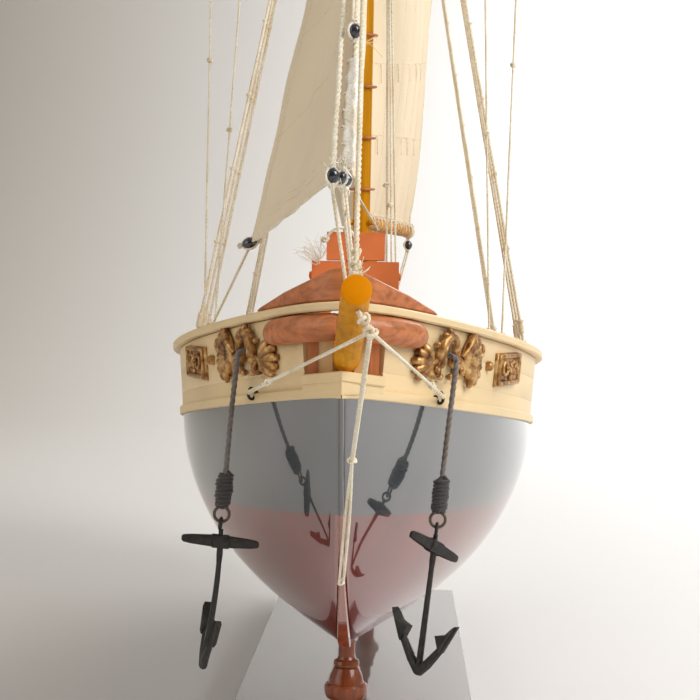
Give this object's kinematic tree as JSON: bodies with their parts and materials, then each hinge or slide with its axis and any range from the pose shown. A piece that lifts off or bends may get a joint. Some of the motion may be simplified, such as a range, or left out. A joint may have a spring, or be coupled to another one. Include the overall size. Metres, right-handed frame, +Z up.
{
  "type": "model sailing ship",
  "caption": "Two-masted display model of a sailing ship with gaff sails, carved bow, hanging anchors and full rigging, on a base board with turned pedestals.",
  "frame": {"origin": "centre of the base board's underside, on the surface the model stands on", "axes": "+Z up, the bow towards -Y, the port side towards +X"},
  "size_m": [0.172, 0.8024, 0.692],
  "materials": {
    "topside_paint": "gloss paint over wood, grey above the waterline and maroon below",
    "keel_paint": "gloss maroon paint over wood",
    "cream_paint": "satin cream paint",
    "mahogany": "satin varnish",
    "spar_varnish": "amber satin varnish",
    "red_paint": "satin red-orange paint",
    "gilt": "antique gold with dark recesses",
    "rope": "twisted cream cord",
    "cable_rope": "twisted grey-purple cord",
    "iron": "blackened casting",
    "canvas": "unbleached sailcloth",
    "turned_wood": "gloss varnish",
    "board": "pale gloss lacquer",
    "deck_planks": "satin planking",
    "plywood": "bare plywood"
  },
  "bodies": {
    "ship": {"base_board": "board", "pedestal_forward": "turned_wood", "pedestal_aft": "turned_wood", "keel_backbone": "keel_paint", "bulkhead_forward": "plywood", "bulkhead_midship": "plywood", "bulkhead_aft": "plywood", "hull_planking_port": "topside_paint", "hull_planking_starboard": "topside_paint", "main_deck": "deck_planks", "bulwark_port": "cream_paint", "bulwark_starboard": "cream_paint", "cap_rail_port": "cream_paint", "cap_rail_starboard": "cream_paint", "transom": "cream_paint", "bow_ledge": "cream_paint", "deckhouse": "cream_paint", "knighthead_port": "mahogany", "knighthead_starboard": "mahogany", "bow_chock_port": "mahogany", "bow_chock_starboard": "mahogany", "bow_breasthook": "mahogany", "fore_hatch": "mahogany", "deckhouse_roof": "mahogany", "steering_stand": "mahogany", "hawse_carving_port": "gilt", "hawse_carving_starboard": "gilt", "bow_plaque_port": "gilt", "bow_plaque_starboard": "gilt", "shroud_hook_port": "iron", "shroud_hook_starboard": "iron", "bowsprit": "spar_varnish", "foremast": "spar_varnish", "mainmast": "spar_varnish", "windlass_frame": "red_paint", "starboard_jib": "canvas", "centre_jib": "canvas", "fore_shrouds_port": "rope", "fore_shrouds_starboard": "rope", "main_shrouds_port": "rope", "main_shrouds_starboard": "rope", "bow_rigging": "rope", "headstays": "rope", "main_stay": "rope"},
    "rudder_blade": {"rudder": "keel_paint"},
    "windlass": {"windlass_barrel": "red_paint"},
    "wheel": {"steering_wheel": "mahogany"},
    "fore_rig": {"fore_boom": "spar_varnish", "fore_gaff": "spar_varnish", "foresail": "canvas"},
    "main_rig": {"main_boom": "spar_varnish", "main_gaff": "spar_varnish", "mainsail": "canvas"},
    "yard": {"fore_yard": "spar_varnish"},
    "cable_port": {"anchor_cable_port": "cable_rope", "anchor_ring_port": "iron"},
    "cable_starboard": {"anchor_cable_starboard": "cable_rope", "anchor_ring_starboard": "iron"},
    "bower_port": {"anchor_port": "iron"},
    "bower_starboard": {"anchor_starboard": "iron"}
  },
  "joints": [
    {"name": "rudder_swing", "type": "hinge", "parent": "ship", "child": "rudder_blade", "pos_m": [0, 0.266, 0.09], "axis": [0, 0, 1], "range_deg": [-35, 35]},
    {"name": "windlass_turn", "type": "hinge", "parent": "ship", "child": "windlass", "pos_m": [0, -0.182, 0.193], "axis": [1, 0, 0], "continuous": true},
    {"name": "wheel_turn", "type": "hinge", "parent": "ship", "child": "wheel", "pos_m": [0, 0.2655, 0.18867], "axis": [0, 1, 0], "continuous": true},
    {"name": "fore_boom_swing", "type": "hinge", "parent": "ship", "child": "fore_rig", "pos_m": [0, -0.115, 0.247], "axis": [0, 0, 1], "range_deg": [-17, 33]},
    {"name": "main_boom_swing", "type": "hinge", "parent": "ship", "child": "main_rig", "pos_m": [0, 0.085, 0.252], "axis": [0, 0, 1], "range_deg": [-30, 20]},
    {"name": "fore_yard_swing", "type": "hinge", "parent": "ship", "child": "yard", "pos_m": [0, -0.115, 0.47], "axis": [0, 0, 1], "range_deg": [-12, 12]},
    {"name": "cable_port_swing", "type": "hinge", "parent": "ship", "child": "cable_port", "pos_m": [0.03913, -0.26341, 0.18992], "axis": [1, 0, 0], "range_deg": [-20, 4]},
    {"name": "cable_starboard_swing", "type": "hinge", "parent": "ship", "child": "cable_starboard", "pos_m": [-0.03911, -0.26341, 0.18992], "axis": [1, 0, 0], "range_deg": [-20, 4]},
    {"name": "anchor_port_swing", "type": "hinge", "parent": "cable_port", "child": "bower_port", "pos_m": [0.03426, -0.2635, 0.132], "axis": [0, 1, 0], "range_deg": [-30, 10]},
    {"name": "anchor_starboard_swing", "type": "hinge", "parent": "cable_starboard", "child": "bower_starboard", "pos_m": [-0.04426, -0.2635, 0.132], "axis": [0, 1, 0], "range_deg": [-10, 30]}
  ]
}
